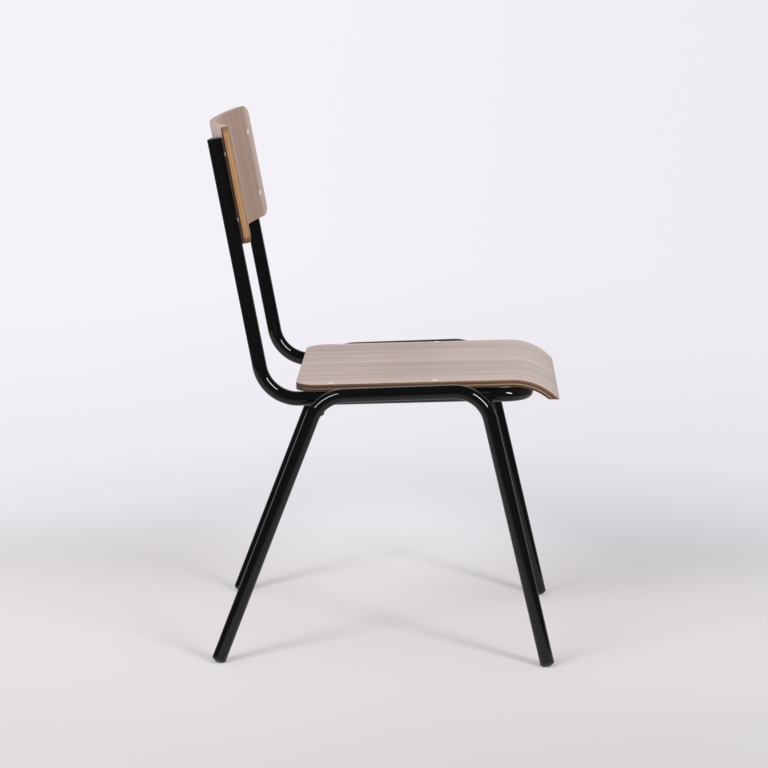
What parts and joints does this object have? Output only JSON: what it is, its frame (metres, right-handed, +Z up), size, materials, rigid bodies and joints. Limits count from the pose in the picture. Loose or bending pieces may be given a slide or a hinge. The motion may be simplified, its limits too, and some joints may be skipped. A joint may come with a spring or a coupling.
{
  "type": "stacking chair",
  "caption": "Stacking side chair: bent round-tube frame with welded leg hoops, a moulded plywood seat with a rolled front edge and a curved plywood backrest.",
  "frame": {"origin": "on the floor, in the middle of the chair's overall width and depth", "axes": "+Z up, +X to the left of a person who sits on it, -Y forward, the way the person faces"},
  "size_m": [0.4592, 0.5456, 0.8225],
  "materials": {
    "black_paint": "gloss black coating",
    "seat_veneer": "satin lacquered greyed walnut veneer on plywood",
    "backrest_veneer": "satin lacquered greyed walnut veneer on plywood",
    "rivet_aluminium": "bright",
    "mandrel_steel": "plain",
    "spacer_nylon": "moulded nylon",
    "cap_plastic": "moulded black plastic",
    "glide_plastic": "moulded black plastic"
  },
  "bodies": {
    "root": {"back_and_seat_tube": "black_paint", "backrest_panel": "backrest_veneer", "backrest_rivet_lower_left": "rivet_aluminium", "backrest_rivet_lower_right": "rivet_aluminium", "backrest_rivet_mandrels": "mandrel_steel", "backrest_rivet_upper_left": "rivet_aluminium", "backrest_rivet_upper_right": "rivet_aluminium", "backrest_spacer_lower_left": "spacer_nylon", "backrest_spacer_lower_right": "spacer_nylon", "backrest_spacer_upper_left": "spacer_nylon", "backrest_spacer_upper_right": "spacer_nylon", "front_stub_welds": "black_paint", "left_front_glide": "glide_plastic", "left_front_stub": "black_paint", "left_leg_frame": "black_paint", "left_post_cap": "cap_plastic", "left_rear_glide": "glide_plastic", "rear_bar_welds": "black_paint", "rear_cross_bar": "black_paint", "right_front_glide": "glide_plastic", "right_front_stub": "black_paint", "right_leg_frame": "black_paint", "right_post_cap": "cap_plastic", "right_rear_glide": "glide_plastic", "seat_panel": "seat_veneer", "seat_rivet_front_left": "rivet_aluminium", "seat_rivet_front_right": "rivet_aluminium", "seat_rivet_mandrels": "mandrel_steel", "seat_rivet_rear_left": "rivet_aluminium", "seat_rivet_rear_right": "rivet_aluminium"}
  },
  "joints": []
}
